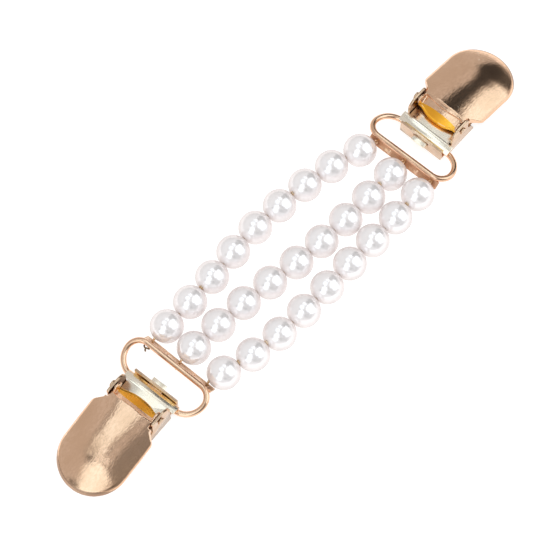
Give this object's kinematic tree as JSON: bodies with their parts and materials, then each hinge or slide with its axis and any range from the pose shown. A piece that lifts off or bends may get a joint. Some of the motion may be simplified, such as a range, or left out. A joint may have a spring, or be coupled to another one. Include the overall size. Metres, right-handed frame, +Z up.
{
  "type": "pearl sweater clip",
  "caption": "Sweater clip: strands of round pearls strung between two wire rings, each ring hooked on a rose-gold lever clip with a domed cover.",
  "frame": {"origin": "middle of the footprint, on the surface that the clip lies on", "axes": "+X along the length from clip A to clip B, +Y across the strands towards strand 1, +Z up"},
  "size_m": [0.152, 0.0329, 0.0086],
  "materials": {
    "pearl": "white pearl lustre",
    "gilt_wire": "thin gilt wire",
    "rose_gold": "polished rose-gold plating",
    "satin_rose_gold": "satin rose-gold plating on steel sheet",
    "pale_plate": "bright pale-gold plating on steel sheet"
  },
  "bodies": {
    "strands_and_rings": {"pearl_1_1": "pearl", "pearl_1_2": "pearl", "pearl_1_3": "pearl", "pearl_1_4": "pearl", "pearl_1_5": "pearl", "pearl_1_6": "pearl", "pearl_1_7": "pearl", "pearl_1_8": "pearl", "pearl_1_9": "pearl", "pearl_2_1": "pearl", "pearl_2_2": "pearl", "pearl_2_3": "pearl", "pearl_2_4": "pearl", "pearl_2_5": "pearl", "pearl_2_6": "pearl", "pearl_2_7": "pearl", "pearl_2_8": "pearl", "pearl_2_9": "pearl", "pearl_3_1": "pearl", "pearl_3_2": "pearl", "pearl_3_3": "pearl", "pearl_3_4": "pearl", "pearl_3_5": "pearl", "pearl_3_6": "pearl", "pearl_3_7": "pearl", "pearl_3_8": "pearl", "pearl_3_9": "pearl", "thread_1": "gilt_wire", "thread_2": "gilt_wire", "thread_3": "gilt_wire", "ring_a": "rose_gold", "ring_b": "rose_gold"},
    "clip_a": {"back_plate_a": "rose_gold"},
    "jaw_a": {"jaw_plate_a": "pale_plate"},
    "lever_a": {"cover_a": "satin_rose_gold", "hinge_pins_a": "rose_gold"},
    "clip_b": {"back_plate_b": "rose_gold"},
    "jaw_b": {"jaw_plate_b": "pale_plate"},
    "lever_b": {"cover_b": "satin_rose_gold", "hinge_pins_b": "rose_gold"}
  },
  "joints": [
    {"name": "clip_a_swing", "type": "hinge", "parent": "strands_and_rings", "child": "clip_a", "pos_m": [-0.04651, 0.0037, 0.00185], "axis": [0, 1, 0], "range_deg": [-30, 75]},
    {"name": "lever_a_open", "type": "hinge", "parent": "clip_a", "child": "lever_a", "pos_m": [-0.05181, 0.00351, 0.0069], "axis": [-0.0175, 0.9998, 0], "range_deg": [0, 95]},
    {"name": "jaw_a_open", "type": "hinge", "parent": "clip_a", "child": "jaw_a", "pos_m": [-0.04511, 0.00362, 0.00285], "axis": [-0.0175, 0.9998, 0], "range_deg": [0, 5]},
    {"name": "clip_b_swing", "type": "hinge", "parent": "strands_and_rings", "child": "clip_b", "pos_m": [0.04651, -0.0037, 0.00185], "axis": [0, -1, 0], "range_deg": [-30, 75]},
    {"name": "lever_b_open", "type": "hinge", "parent": "clip_b", "child": "lever_b", "pos_m": [0.05181, -0.00379, 0.0069], "axis": [-0.0175, -0.9998, 0], "range_deg": [0, 95]},
    {"name": "jaw_b_open", "type": "hinge", "parent": "clip_b", "child": "jaw_b", "pos_m": [0.04511, -0.00368, 0.00285], "axis": [-0.0175, -0.9998, 0], "range_deg": [0, 5]}
  ],
  "couplings": [
    {"joint": "jaw_a_open", "follows": "lever_a_open", "ratio": 0.05},
    {"joint": "jaw_b_open", "follows": "lever_b_open", "ratio": 0.05}
  ]
}
